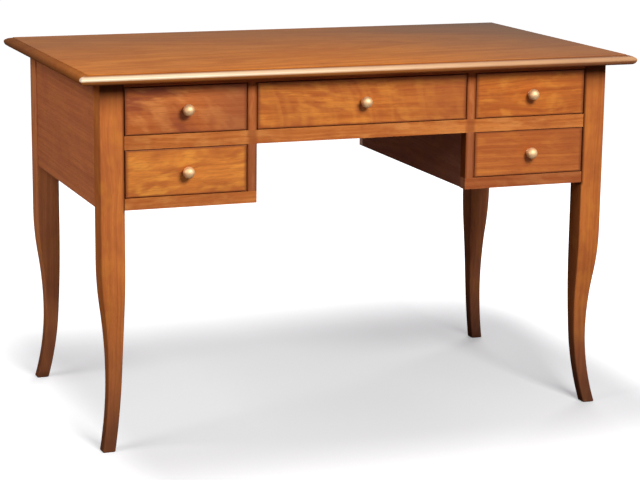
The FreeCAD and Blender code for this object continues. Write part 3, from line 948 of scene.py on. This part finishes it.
@dataclass
class SabreLeg:
    """A leg sawn to one sabre outline from two faces, with rounded arrises and an eased foot."""

    end: End
    side: Side
    timber: Timber
    # Share of the painted shade towards the foot.
    foot_shade_share: float
    knee_height: float = 0.393
    bend_height: float = 0.29
    ankle_height: float = 0.16
    ankle_inset: float = 0.016
    toe_out: float = 0.0025
    foot_thick: float = 0.027
    calf_height: float = 0.35
    calf_inset: float = 0.0045
    leg_side: float = 0.05
    arris: float = 0.003
    foot_ease: float = 0.0012
    arc_steps: int = 9
    corner_steps: int = 4
    sharp_bend: float = 50.0
    # Painted shade growing towards the foot, and deeper below the ankle:
    foot_shade: Colour = (0.098, 0.042, 0.032)
    foot_shade_swing: float = 0.09
    ankle_shade_share: float = 0.5
    ankle_shade: Colour = (0.034, 0.016, 0.012)
    # Painted shadow of the top's overhang on the leg's upper front face:
    face_turn: Point = (0.3, 0.9)
    under_top_shadow_drop: Point = (0.075, 0.006)
    under_shade_share: float = 0.8
    under_top_shadow: Colour = (0.06, 0.016, 0.01)
    # Painted shade in a strip along the inner edge, where the leg meets the rails:
    joint_wide: float = 0.007
    joint_low: float = 0.5
    joint_soft: float = 0.01
    joint_share: float = 0.9
    joint_shade: Colour = (0.1, 0.022, 0.006)
    # Painted shade on the face that looks in towards the middle of the desk:
    inner_shade_share: float = 0.4
    inner_face_shade: Colour = (0.06, 0.018, 0.01)
    scuff_high: float = 0.03
    scuff_share: float = 0.5
    scuff: Colour = (0.2, 0.085, 0.04)

    def __post_init__(self) -> None:
        """Reads the leg's corners from the frame, and the ways from its outer corner inward."""
        self.node = f"leg_{self.end.value}_{self.side.value}"
        self.low, self.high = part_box(self.node)
        self.inward = Vector((
            1.0 if self.side is Side.LEFT else -1.0, 1.0 if self.end is End.FRONT else -1.0))

    def faces(self) -> tuple[list[Point], list[Point]]:
        """Draws the outer and the inner outline down the leg.

        Returns:
            For each, distances in from the leg's outer face, and heights.
        """
        span = self.knee_height - self.ankle_height
        bend_inset = self.ankle_inset * (self.knee_height - self.bend_height) / span
        down = -math.pi / 2.0
        outer = [
            (0.0, self.knee_height),
            (bend_inset, self.bend_height),
            (self.ankle_inset, self.ankle_height),
            (-self.toe_out, 0.0),
        ]
        inner = [
            (self.leg_side, self.calf_height),
            (self.leg_side - self.calf_inset, self.ankle_height),
            (self.foot_thick - self.toe_out, 0.0),
        ]
        return tuple(arcs_through(places, down, self.arc_steps) for places in (outer, inner))

    def ring(self, near: float, far: float, height: float) -> list[Place]:
        """Draws a square section with round corners.

        Args:
            near: Distance of its outer sides in from the leg's outer faces.
            far: Distance of its inner sides.
            height: Its height.

        Returns:
            Its points, counter-clockwise for a leg at the low ends of both axes.
        """
        low, high = near + self.arris, far - self.arris
        corners = [(low, low, 180.0), (high, low, 270.0), (high, high, 0.0), (low, high, 90.0)]
        points = []
        for x, y, start in corners:
            for step in range(self.corner_steps + 1):
                turn = math.radians(start + 90.0 * step / self.corner_steps)
                out_x, out_y = self.arris * math.cos(turn), self.arris * math.sin(turn)
                points.append((x + out_x, y + out_y, height))
        return points

    def darker_foot(self, bench: ShaderBench, colour: Signal) -> Signal:
        """Paints shade at the foot, the joint, under the top and on the inner face; scuffs the toe.

        Args:
            bench: The material's bench.
            colour: The wood's colour.

        Returns:
            The colour with its painted shade and scuffs.
        """
        spot = bench.spot()
        x, z = bench.parts(spot, "XZ")
        across, along = bench.facing("XY")
        # Painted shade towards the foot, with a cloudy edge.
        height = z + FOOT_SHADE_CLOUDS.noise(bench, spot).centred() * self.foot_shade_swing
        # Painted shadow of the top's overhang, on faces that look to the front.
        start, full = (self.high.z - drop for drop in self.under_top_shadow_drop)
        under_top = z.ramp(start, full) * (-along).ramp(*self.face_turn)
        # Painted shade in a strip along the inner edge, from the pedestal's bottom up.
        inner_face = self.high.x if self.side is Side.LEFT else self.low.x
        joint = (abs(x) - abs(inner_face)).ramp(self.joint_wide, 0.0)
        joint = joint * z.ramp(self.joint_low - self.joint_soft, self.joint_low)
        # Painted shade on the face that looks in towards the middle of the desk.
        inside = (across if self.side is Side.LEFT else -across).ramp(*self.face_turn)
        scuffs = TOE_SCUFFS.shown(bench, spot) * z.ramp(self.scuff_high, 0.0)
        return bench.layered(colour, (
            (height.ramp(self.calf_height, 0.0) * self.foot_shade_share, self.foot_shade),
            (height.ramp(self.ankle_height, 0.0) * self.ankle_shade_share, self.ankle_shade),
            (under_top * self.under_shade_share, self.under_top_shadow),
            (joint * self.joint_share, self.joint_shade),
            (inside * self.inner_shade_share, self.inner_face_shade),
            (scuffs * self.scuff_share, self.scuff),
        ))

    def placed(self, ring: Sequence[Place]) -> list[Place]:
        """Sets a section where the leg stands, mirrored for its corner of the desk.

        Args:
            ring: The section's points, as distances in from the leg's outer faces.

        Returns:
            The points in the desk's frame, counter-clockwise seen from above.
        """
        corner = Vector((
            self.low.x + self.toe_out if self.inward.x > 0.0 else self.high.x - self.toe_out,
            self.low.y + self.toe_out if self.inward.y > 0.0 else self.high.y - self.toe_out,
        ))
        points = [
            (corner.x + self.inward.x * x, corner.y + self.inward.y * y, z) for x, y, z in ring]
        return points if self.inward.x * self.inward.y > 0.0 else points[::-1]

    def build(self) -> None:
        """Models the leg and puts it in place of the node."""
        outer, inner = (np.array(outline)[::-1] for outline in self.faces())
        levels = sorted({0.0, self.foot_ease, *outer[1:, 1], *inner[1:, 1], self.high.z})
        rings = []
        for level in levels:
            near = np.interp(level, outer[:, 1], outer[:, 0])
            far = np.interp(level, inner[:, 1], inner[:, 0])
            eased = self.foot_ease if level == 0.0 else 0.0
            rings.append(self.placed(self.ring(near + eased, far - eased, level)))
        piece = lofted(f"sabre_{self.node}", rings, self.sharp_bend)
        dress(piece, self.timber.material(f"{self.node}_cherry", Cut.UPRIGHT, self.darker_foot))
        stand_in(piece, self.node, "carcase")


@dataclass
class Carcase:
    """The fixed boards between the legs, which keep their CAD shapes and get their woods."""

    # Painted shade along the stiles' edges and along the side panels' front and back edges:
    stile_rim: float = 0.006
    stile_share: float = 0.85
    panel_rim: float = 0.016
    panel_share: float = 0.7
    crossing_spread: float = 0.007
    crossing_swing: float = 1.6
    crossing_fade: float = 0.8
    crossing_share: float = 0.6
    crossing_dirt: Colour = (0.27, 0.062, 0.02)

    def boards(self) -> dict[str, tuple[Timber, Cut]]:
        """Lists the boards.

        Returns:
            The wood and the lie of each, by its node.
        """
        lies = {
            "top_rail": (SHADED_CHERRY, Cut.FRONT),
            "middle_rail": (RAIL_CHERRY, Cut.FRONT),
            "bottom_rail_left": (RAIL_CHERRY, Cut.FRONT),
            "bottom_rail_right": (RED_RAIL_CHERRY, Cut.FRONT),
            "back_apron": (RAIL_CHERRY, Cut.FRONT),
            "drawer_runners": (BEECH, Cut.FLOOR),
            "drawer_guides": (BEECH, Cut.FLOOR),
            "top_blocks": (BEECH, Cut.FLOOR),
        }
        for side in Side:
            lies[f"side_panel_{side.value}"] = (DULL_CHERRY, Cut.SIDE)
            lies[f"kneehole_panel_{side.value}"] = (INNER_CHERRY, Cut.SIDE)
            lies[f"lower_back_{side.value}"] = (CHERRY, Cut.FRONT)
            lies[f"upper_stile_{side.value}"] = (STILE_CHERRY, Cut.UPRIGHT)
            lies[f"lower_stile_{side.value}"] = (LOW_STILE_CHERRY, Cut.UPRIGHT)
        return lies

    def wears_and_shades(self) -> dict[str, WearAndShade]:
        """Lists the boards with painted shade along their edges, and the middle rail's darker
        crossings.

        Returns:
            What changes the colour of each, by its node.
        """
        changes: dict[str, WearAndShade] = {"middle_rail": self.crossings}
        stile_rims = {"X": self.stile_rim, "Z": self.stile_rim}
        for side in Side:
            for level in ("upper", "lower"):
                node = f"{level}_stile_{side.value}"
                changes[node] = DarkRim(node, stile_rims, self.stile_share).wear_and_shade
            node = f"side_panel_{side.value}"
            changes[node] = DarkRim(node, {"Y": self.panel_rim}, self.panel_share).wear_and_shade
        return changes

    def crossings(self, bench: ShaderBench, colour: Signal) -> Signal:
        """Darkens the middle rail where the stiles above and below meet it.

        Args:
            bench: The material's bench.
            colour: The wood's colour.

        Returns:
            The colour with its two darker places.
        """
        low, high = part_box("upper_stile_right")
        x, z = bench.place("XZ")
        across = abs(x)
        beyond = (low.x - across).at_least(across - high.x) / self.crossing_spread
        cloud = CROSSING_DIRT.noise(bench, bench.vector(x, z, 0.0)).centred()
        dirt = (beyond + cloud * self.crossing_swing).ramp(self.crossing_fade, -self.crossing_fade)
        return bench.mix(dirt * self.crossing_share, colour, self.crossing_dirt)

    def build(self) -> None:
        """Dresses every board and floor."""
        wears_and_shades = self.wears_and_shades()
        for node, (timber, cut) in self.boards().items():
            dress_node(node, timber.material(f"{node}_wood", cut, wears_and_shades.get(node)))
        for side in Side:
            node = f"pedestal_floor_{side.value}"
            dress_node(node, PLYWOOD.material(f"{node}_ply"))


@dataclass
class TurnedPiece:
    """A piece of one drawer, turned about an axis that runs from front to back."""

    drawer: str
    around: int = 48
    sharp_bend: float = 40.0

    def share_at(self, place: int, turn: float) -> float:
        """How far ring number place reaches at an angle, as a share of its radius."""
        return 1.0

    def turned(
        self, node: str, outline: Sequence[Point], start: float, way: float
    ) -> bpy.types.Object:
        """Turns an outline about the middle of a node.

        Args:
            node: The node that the piece stands for.
            outline: Radii and distances along the axis, with small flats at both ends.
            start: Where on the axis distances are measured from.
            way: -1 where distances run to the front, 1 where they run to the back.

        Returns:
            The turned piece.
        """
        low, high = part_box(node)
        middle = (low + high) / 2.0
        rings = []
        for place, (radius, reach) in enumerate(outline):
            ring = []
            for step in range(self.around):
                turn = math.tau * step / self.around
                out = radius * self.share_at(place, turn)
                aside, up = -way * out * math.cos(turn), out * math.sin(turn)
                ring.append((middle.x + aside, start + way * reach, middle.z + up))
            rings.append(ring)
        return lofted(f"turned_{node}", rings, self.sharp_bend)


@dataclass
class Knob(TurnedPiece):
    """A brass knob: a base disc, a cove, a ball and a flat at its tip."""

    neck_share: float = 0.375
    base_share: float = 0.58
    base_thick: float = 0.0022
    base_flat: float = 0.2
    base_rise: float = 0.7
    base_ease: float = 0.9
    cove_share: float = 1.06
    cove_rise: float = 1.25
    tip_flat: float = 0.02
    ball_steps: int = 18

    def build(self) -> None:
        """Models the knob and puts it in place of the node."""
        node = f"{self.drawer}_knob"
        low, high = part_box(node)
        radius = (high.x - low.x) / 2.0
        length = high.y - low.y
        neck = radius * self.neck_share
        base = radius * self.base_share
        outline = [
            (base * self.base_flat, 0.0),
            (base, 0.0),
            (base, self.base_thick * self.base_rise),
            (base * self.base_ease, self.base_thick),
            (neck * self.cove_share, self.base_thick * self.cove_rise),
        ]
        ball = math.pi - math.asin(neck / radius)
        for step in range(self.ball_steps):
            turn = ball - ball * step / self.ball_steps
            outline.append((radius * math.sin(turn), length - radius * (1.0 - math.cos(turn))))
        outline.append((radius * self.tip_flat, length))
        piece = self.turned(node, outline, high.y, -1.0)
        dress(piece, BRASS.material(f"{node}_brass"))
        stand_in(piece, node, self.drawer)


@dataclass
class KnobScrew(TurnedPiece):
    """A steel screw: a plain shank, and a domed head with a cross for the driver."""

    shank_radius: float = 0.002
    tip_flat: float = 0.4
    head_high: float = 0.003
    dome: tuple[Point, ...] = ((1.0, 0.0), (1.0, 0.4), (0.85, 0.8), (0.55, 1.0))
    cross_long: float = 0.0022
    cross_wide: float = 0.0006
    cross_deep: float = 0.0016
    cross_taper: float = 0.6
    cross_flat: float = 0.4
    crossed: tuple[int, int] = (7, 8)

    def share_at(self, place: int, turn: float) -> float:
        """Cuts the rings at the mouth and the floor of the driver's cross to its outline.

        Args:
            place: The ring's number from the shank's tip.
            turn: The angle round the axis.

        Returns:
            How far the ring reaches there, as a share of its radius.
        """
        long, beside = sorted((abs(math.cos(turn)), abs(math.sin(turn))), reverse=True)
        if place not in self.crossed or beside == 0.0:
            return 1.0
        return min(1.0 / long, self.cross_wide / self.cross_long / beside)

    def build(self) -> None:
        """Models the screw and puts it in place of the node."""
        node = f"{self.drawer}_knob_screw"
        low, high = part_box(node)
        head = (high.x - low.x) / 2.0
        reach = high.y - low.y
        seat = reach - self.head_high
        floor = reach - self.cross_deep
        outline = [
            (self.shank_radius * self.tip_flat, 0.0),
            (self.shank_radius, self.shank_radius),
            (self.shank_radius, seat),
            *((head * out, seat + self.head_high * up) for out, up in self.dome),
            (self.cross_long, reach),
            (self.cross_long * self.cross_taper, floor),
            (self.cross_wide * self.cross_flat, floor),
        ]
        piece = self.turned(node, outline, low.y, 1.0)
        dress(piece, STEEL.material(f"{node}_steel"))
        stand_in(piece, node, self.drawer)


@dataclass
class Drawer:
    """One drawer: figured front, beech sides and back, plywood bottom, brass knob and its screw."""

    name: str
    timber: Timber
    right_dark_share: float
    # The darker tone towards the front's right end.
    heart: Colour = (0.28, 0.07, 0.024)
    # Painted shade along the front's edges, beside the gaps:
    end_rim: float = 0.009
    long_rim: float = 0.005
    rim_share: float = 0.88

    def right_dark_and_rim(self, bench: ShaderBench, colour: Signal) -> Signal:
        """Darkens the front towards its right end, and paints shade along its rim.

        Args:
            bench: The material's bench.
            colour: The wood's colour.

        Returns:
            The colour with its darker end and rim.
        """
        node = f"{self.name}_front"
        low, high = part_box(node)
        # Darker towards the right end of the front.
        if self.right_dark_share:
            (across,) = bench.place("X")
            right = across.ramp((low.x + high.x) / 2.0, high.x)
            colour = bench.mix(right * self.right_dark_share, colour, self.heart)
        # Painted shade along the front's edges, wider at the ends than along the top and bottom.
        rim = DarkRim(node, {"X": self.end_rim, "Z": self.long_rim}, self.rim_share)
        return rim.wear_and_shade(bench, colour)

    def build(self) -> None:
        """Dresses the boards and models the knob and its screw."""
        boards = {
            "front": (self.timber, Cut.FRONT, self.right_dark_and_rim),
            "side_left": (BEECH, Cut.SIDE, None),
            "side_right": (BEECH, Cut.SIDE, None),
            "back": (BEECH, Cut.FRONT, None),
        }
        for part, (timber, cut, wear_and_shade) in boards.items():
            node = f"{self.name}_{part}"
            dress_node(node, timber.material(f"{node}_wood", cut, wear_and_shade))
        node = f"{self.name}_bottom"
        dress_node(node, PLYWOOD.material(f"{node}_ply"))
        Knob(self.name).build()
        KnobScrew(self.name).build()


@dataclass(frozen=True)
class Softbox:
    """A rectangular studio lamp."""

    name: str
    place: Place
    aim: Place
    size: Point
    watts: float
    mirrored: bool = True

    def build(self) -> None:
        """Hangs the lamp and turns it to its aim."""
        light = bpy.data.lights.new(self.name, "AREA")
        light.shape = "RECTANGLE"
        light.size, light.size_y = self.size
        light.energy = self.watts
        lamp = bpy.data.objects.new(self.name, light)
        lamp.location = self.place
        lamp.visible_glossy = self.mirrored
        lamp.rotation_mode = "QUATERNION"
        way = Vector(self.aim) - Vector(self.place)
        lamp.rotation_quaternion = way.to_track_quat("-Z", "Y")
        bpy.context.scene.collection.objects.link(lamp)
        LOG.info("%s hung", self.name)


@dataclass
class Studio:
    """White floor, soft light and the camera."""

    floor_side: float = 60.0
    bounce_tone: float = 0.15
    seen_tone: float = 0.62
    # The floor's painted glow, dim in a box about the desk so that its shadow shows there, and
    # white further off:
    near_lift: float = 0.224
    far_lift: float = 0.95
    lift_reach: Point = (0.0, 0.6)
    lift_squeeze: float = 2.3
    shade_half: Point = (0.55, 0.35)
    shade_shift: float = 0.09
    zenith: float = 0.14
    horizon: float = 0.12
    zenith_from: float = 0.9
    sky_tint: Colour = (0.98, 0.94, 1.14)
    backdrop: Colour = (1.0, 1.0, 1.0)
    lamps: tuple[Softbox, ...] = (
        Softbox("front_light", (0.33, -2.7, 2.25), (0.0, -0.2, 0.6), (1.1, 0.9), 94.0),
        Softbox("left_light", (-2.0, -0.4, 1.8), (-0.2, 0.0, 0.6), (1.0, 1.0), 17.5),
        Softbox("back_light", (1.5, 2.0, 2.2), (0.0, 0.1, 0.5), (2.0, 1.0), 40.0, mirrored=False),
    )
    sensor: float = 36.0
    lens: float = 113.167
    camera_place: Place = (-1.5632, -4.1121, 1.2983)
    yaw: float = 21.0754
    pitch: float = 12.2388
    roll: float = 0.6353

    def lift(self, bench: ShaderBench) -> Signal:
        """Paints the floor's glow: dim in a box about the desk, where its shadow shows, and white
        further off.

        Args:
            bench: The floor's bench.

        Returns:
            The colour that the floor glows in.
        """
        x, y = bench.place("XY")
        half_x, half_y = self.shade_half
        beyond_x = (abs(x - self.shade_shift) - half_x).at_least(0.0) * self.lift_squeeze
        beyond_y = (abs(y) - half_y).at_least(0.0)
        far = (beyond_x * beyond_x + beyond_y * beyond_y).root().ramp(*self.lift_reach)
        return bench.mix(far, (self.near_lift,) * 3, (self.far_lift,) * 3)

    def floor(self) -> None:
        """Lays a white floor that keeps the desk's shadow."""
        half = self.floor_side / 2.0
        corners = [(-half, -half, 0.0), (half, -half, 0.0), (half, half, 0.0), (-half, half, 0.0)]
        mesh = bpy.data.meshes.new("floor")
        mesh.from_pydata(corners, [], [(0, 1, 2, 3)])
        floor = bpy.data.objects.new("floor", mesh)
        bpy.context.scene.collection.objects.link(floor)
        material = bpy.data.materials.new("white_floor")
        bench = ShaderBench(material)
        bounce, matt = (
            bench.node("ShaderNodeBsdfDiffuse", None, {"Color": (tone,) * 3})
            for tone in (self.bounce_tone, self.seen_tone))
        glow = bench.node("ShaderNodeEmission", None, {"Color": self.lift(bench), "Strength": 1.0})
        lifted = bench.node("ShaderNodeAddShader", None, {0: matt, 1: glow})
        sockets = {0: self.seen_rays(bench), 1: bounce, 2: lifted}
        shader = bench.node("ShaderNodeMixShader", None, sockets)
        bench.node("ShaderNodeOutputMaterial", None, {"Surface": shader})
        dress(floor, material)

    @staticmethod
    def seen_rays(bench: ShaderBench) -> Signal:
        """Tells the rays that show the background, straight, mirrored or through glass.

        Args:
            bench: The floor's or the sky's bench.

        Returns:
            1 for those rays, and 0 for the others.
        """
        kinds = ("Is Camera Ray", "Is Glossy Ray", "Is Transmission Ray")
        straight, mirrored, through = (
            bench.node("ShaderNodeLightPath", output=kind) for kind in kinds)
        return straight.at_least(mirrored).at_least(through)

    def sky(self) -> None:
        """Surrounds the desk with soft light, and shows white behind it."""
        world = bpy.data.worlds.new("studio")
        bpy.context.scene.world = world
        bench = ShaderBench(world)
        (up,) = bench.parts(bench.node("ShaderNodeTexCoord", output="Generated"), "Z")
        levels = (self.horizon, self.zenith)
        low, high = (tuple(level * share for share in self.sky_tint) for level in levels)
        tone = bench.mix(up.ramp(0.0, self.zenith_from), low, high)
        tone = bench.mix(self.seen_rays(bench), tone, self.backdrop)
        shader = bench.node("ShaderNodeBackground", None, {"Color": tone, "Strength": 1.0})
        bench.node("ShaderNodeOutputWorld", None, {"Surface": shader})

    def camera(self) -> None:
        """Sets the camera at the photograph's angle."""
        data = bpy.data.cameras.new("camera")
        data.sensor_fit = "HORIZONTAL"
        data.sensor_width = self.sensor
        data.lens = self.lens
        camera = bpy.data.objects.new("camera", data)
        yaw, pitch = math.radians(self.yaw), math.radians(self.pitch)
        way = Vector((
            math.sin(yaw) * math.cos(pitch), math.cos(yaw) * math.cos(pitch), -math.sin(pitch)))
        level = way.to_track_quat("-Z", "Y")
        camera.location = self.camera_place
        camera.rotation_mode = "QUATERNION"
        camera.rotation_quaternion = level @ Quaternion((0.0, 0.0, 1.0), math.radians(self.roll))
        bpy.context.scene.collection.objects.link(camera)
        bpy.context.scene.camera = camera

    def build(self) -> None:
        """Sets up the floor, the light and the camera."""
        self.floor()
        self.sky()
        for lamp in self.lamps:
            lamp.build()
        self.camera()
        bpy.context.scene.view_settings.view_transform = "Standard"


def main() -> None:
    """Builds the desk piece by piece, then the studio."""
    logging.basicConfig(level=logging.INFO, format="%(message)s")
    MouldedTop().build()
    for (end, side), (timber, foot_shade_share) in LEG_WOODS_AND_SHADES.items():
        SabreLeg(end, side, timber, foot_shade_share).build()
    Carcase().build()
    for name, (timber, right_dark_share) in DRAWER_WOODS.items():
        Drawer(name, timber, right_dark_share).build()
    Studio().build()


if __name__ == "__main__":
    main()
